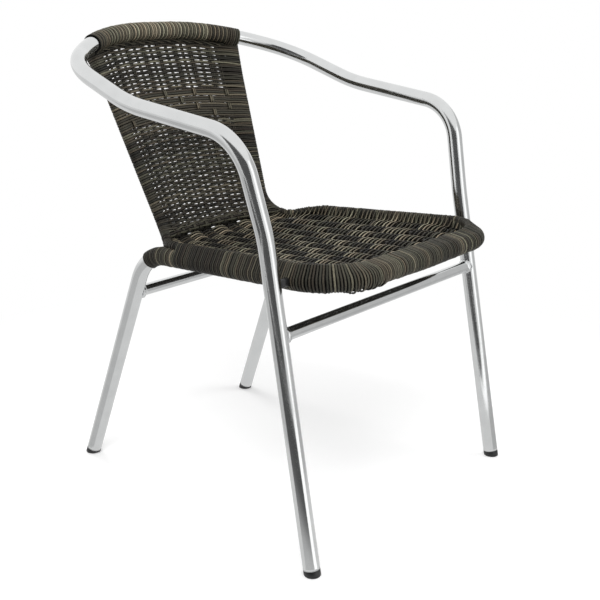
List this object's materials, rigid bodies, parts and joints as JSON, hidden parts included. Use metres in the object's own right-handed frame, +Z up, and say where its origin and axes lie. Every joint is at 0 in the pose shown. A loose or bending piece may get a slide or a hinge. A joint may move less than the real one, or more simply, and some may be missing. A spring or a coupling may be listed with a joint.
{
  "type": "cafe armchair",
  "caption": "Stacking cafe armchair: bent polished aluminium tube frame with curved arms, and a dark brown woven wicker seat and back.",
  "frame": {"origin": "on the floor, midway between the left and right legs, under the middle of the chair's depth", "axes": "+Z up, the chair's front towards -Y, +X to the right as seen from the front"},
  "size_m": [0.5548, 0.5976, 0.7488],
  "materials": {
    "polished_aluminium": "polished, bright",
    "brown_rod": "semi-matt",
    "wicker": "woven strand, satin",
    "wicker_light": "wound strand, satin",
    "black_plastic": "matt",
    "steel": "satin"
  },
  "bodies": {
    "root": {"main_tube": "polished_aluminium", "seat_tube": "polished_aluminium", "front_stretcher": "polished_aluminium", "rear_stretcher": "polished_aluminium", "back_rod_right": "brown_rod", "back_rod_left": "brown_rod", "seat_front_rod": "brown_rod", "rear_cross_rod": "brown_rod", "seat_rod_1": "brown_rod", "seat_rod_2": "brown_rod", "seat_rod_3": "brown_rod", "seat_rod_4": "brown_rod", "seat_rod_5": "brown_rod", "seat_rod_6": "brown_rod", "seat_rod_7": "brown_rod", "seat_rod_8": "brown_rod", "seat_rod_9": "brown_rod", "top_wrap": "wicker_light", "side_wrap_right": "wicker", "side_wrap_left": "wicker", "front_wrap": "wicker", "woven_back": "wicker", "woven_seat": "wicker", "front_foot_right": "black_plastic", "front_foot_left": "black_plastic", "rear_foot_right": "black_plastic", "rear_foot_left": "black_plastic", "seat_bolt_right": "steel", "seat_bolt_left": "steel", "spacer_right": "black_plastic", "spacer_left": "black_plastic", "leg_insert_right": "steel", "leg_insert_left": "steel"}
  },
  "joints": []
}
